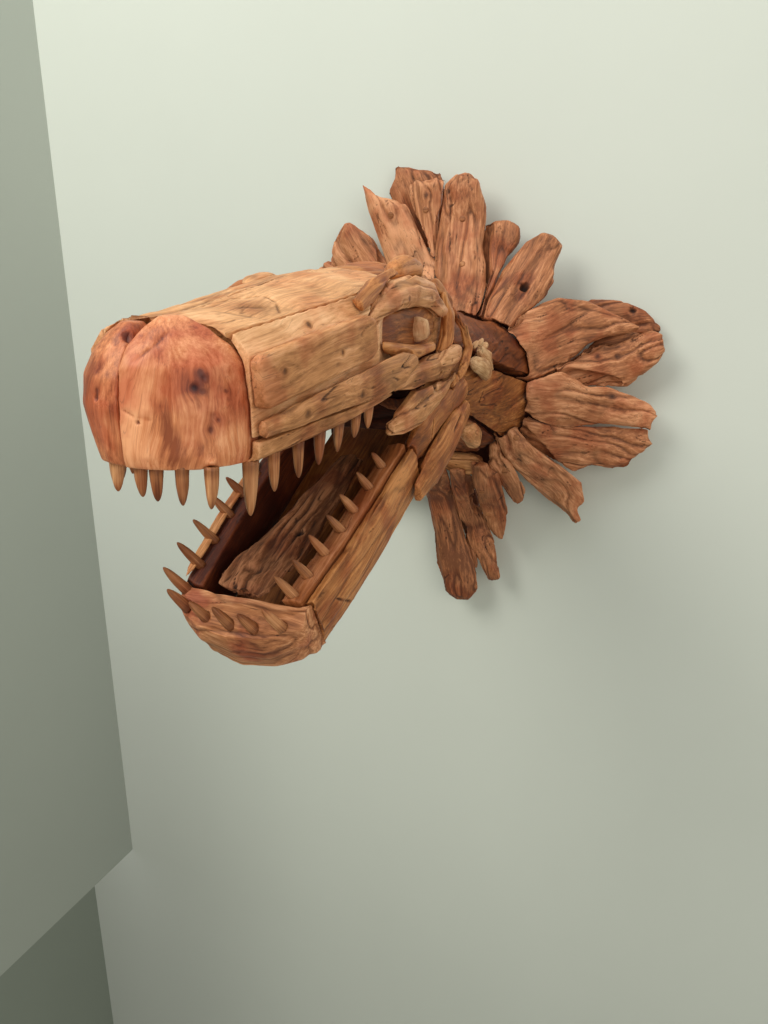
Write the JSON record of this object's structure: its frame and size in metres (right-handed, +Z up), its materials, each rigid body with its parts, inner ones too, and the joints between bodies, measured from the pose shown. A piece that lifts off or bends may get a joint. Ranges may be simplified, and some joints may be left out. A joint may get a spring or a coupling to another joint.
{
  "type": "dinosaur head wall sculpture",
  "caption": "Dinosaur head with open toothed jaws and a neck that ends in a frill of root pieces, made from reclaimed wood to hang on a wall.",
  "frame": {"origin": "on the wall plane, at the middle of the flat back of the backing board that the frill is built on", "axes": "+Y into the wall, so the head points along -Y; +Z up; the head's mid-plane is x = 0 and +X is the side with the full set of cheek pieces"},
  "size_m": [0.6758, 0.99, 0.8386],
  "materials": {
    "red_brown_wood": "waxed, orange-brown root wood",
    "tan_wood": "dry, light tan split wood",
    "rail_wood": "dry, reddish wood",
    "dark_wood": "dark brown board",
    "grey_root_wood": "weathered grey-brown root",
    "pale_wood": "pale lumpy burl",
    "neck_wood": "dark red-brown wood",
    "frill_wood": "matt terracotta-brown root wood"
  },
  "bodies": {
    "root": {"backing_board": "dark_wood", "brow_arch_far": "tan_wood", "brow_arch_near": "tan_wood", "brow_block": "tan_wood", "cheek_plate_far": "tan_wood", "cheek_plate_near": "tan_wood", "cheek_root_near": "tan_wood", "cheek_slab_far": "tan_wood", "cheek_slab_near": "tan_wood", "chin_block": "tan_wood", "crown": "tan_wood", "eye_peg_far": "tan_wood", "eye_peg_near": "tan_wood", "eye_post": "tan_wood", "hinge_plank_far": "tan_wood", "hinge_plank_near": "tan_wood", "hinge_root_near": "tan_wood", "jaw_floor": "dark_wood", "jaw_rail_near": "rail_wood", "jaw_side_far": "tan_wood", "jaw_side_near": "tan_wood", "lip_plank_near": "tan_wood", "lower_lid_near": "tan_wood", "lower_plank_near": "tan_wood", "neck_root_far": "neck_wood", "neck_root_near_lower": "neck_wood", "neck_root_near_upper": "neck_wood", "neck_root_top": "neck_wood", "neck_root_under": "neck_wood", "palate_board": "dark_wood", "pale_burl": "pale_wood", "petal_bottom_main": "frill_wood", "petal_bottom_sliver": "frill_wood", "petal_bottom_stick": "frill_wood", "petal_hooked_log": "frill_wood", "petal_left_fan": "frill_wood", "petal_left_lower": "frill_wood", "petal_left_middle": "frill_wood", "petal_left_pointed": "frill_wood", "petal_left_upper": "frill_wood", "petal_lower_leaf": "frill_wood", "petal_lower_right_stick": "frill_wood", "petal_orange_wedge": "frill_wood", "petal_right_back_board": "frill_wood", "petal_right_fold_lower": "frill_wood", "petal_right_fold_upper": "frill_wood", "petal_right_upper_leaf": "frill_wood", "petal_right_upper_low": "frill_wood", "petal_top_back_board": "frill_wood", "petal_top_knotty": "frill_wood", "petal_top_tall": "frill_wood", "petal_upper_burl": "frill_wood", "rear_rim_stick": "tan_wood", "side_board_far": "tan_wood", "side_board_near": "tan_wood", "snout_block_far": "red_brown_wood", "snout_block_near": "red_brown_wood", "tongue_root": "grey_root_wood", "top_plank_far": "tan_wood", "top_plank_near": "tan_wood"}
  },
  "joints": []
}
